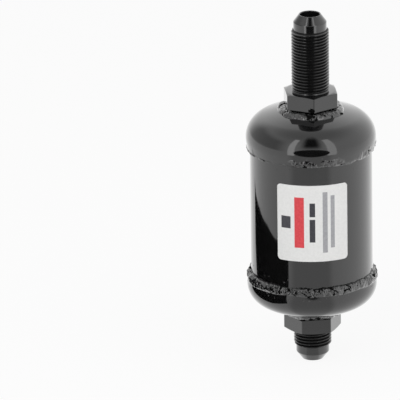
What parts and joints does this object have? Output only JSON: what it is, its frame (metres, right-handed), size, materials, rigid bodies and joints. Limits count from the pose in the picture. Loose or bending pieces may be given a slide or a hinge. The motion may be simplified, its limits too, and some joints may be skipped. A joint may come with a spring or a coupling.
{
  "type": "in-line canister hydraulic filter",
  "caption": "Welded in-line hydraulic filter: black steel canister with dished ends, a long bulkhead flare fitting, a short flare fitting and a pleated element with bypass inside.",
  "frame": {"origin": "centre of the outlet hexagon's outer face, the shoulder at the foot of the long bulkhead thread", "axes": "+Z along the filter's axis, out of the long outlet fitting; -Y towards the middle of the label"},
  "size_m": [0.0662, 0.0663, 0.1835],
  "materials": {
    "black_paint": "gloss black paint over steel and weld beads",
    "label_paper": "satin white self-adhesive label",
    "filter_medium": "resin treated pleated medium",
    "zinc_steel": "zinc plated sheet",
    "spring_steel": "oiled spring wire",
    "turned_steel": "fine turned",
    "brass_seat": "turned",
    "adhesive": "cured adhesive",
    "rubber_seal": "matt moulded"
  },
  "bodies": {
    "canister": {"body_tube": "black_paint", "outlet_cap": "black_paint", "inlet_cap": "black_paint", "outlet_fitting": "black_paint", "inlet_fitting": "black_paint", "outlet_seam_weld": "black_paint", "inlet_seam_weld": "black_paint", "outlet_fitting_weld": "black_paint", "inlet_fitting_weld": "black_paint", "label": "label_paper", "pleated_media": "filter_medium", "centre_tube": "zinc_steel", "open_end_disc": "zinc_steel", "closed_end_disc": "zinc_steel", "outlet_potting": "adhesive", "inlet_potting": "adhesive", "spigot_grommet": "rubber_seal", "preload_spring": "spring_steel", "spring_plate": "zinc_steel", "bypass_seat": "brass_seat", "bypass_cage": "zinc_steel", "bypass_spring": "spring_steel"},
    "bypass_valve": {"bypass_poppet": "turned_steel"}
  },
  "joints": [
    {"name": "bypass_lift", "type": "slide", "parent": "canister", "child": "bypass_valve", "axis": [0, 0, 1], "range_m": [0, 0.0035], "stiffness_N_per_m": 2000, "deforming": ["bypass_spring"]}
  ]
}
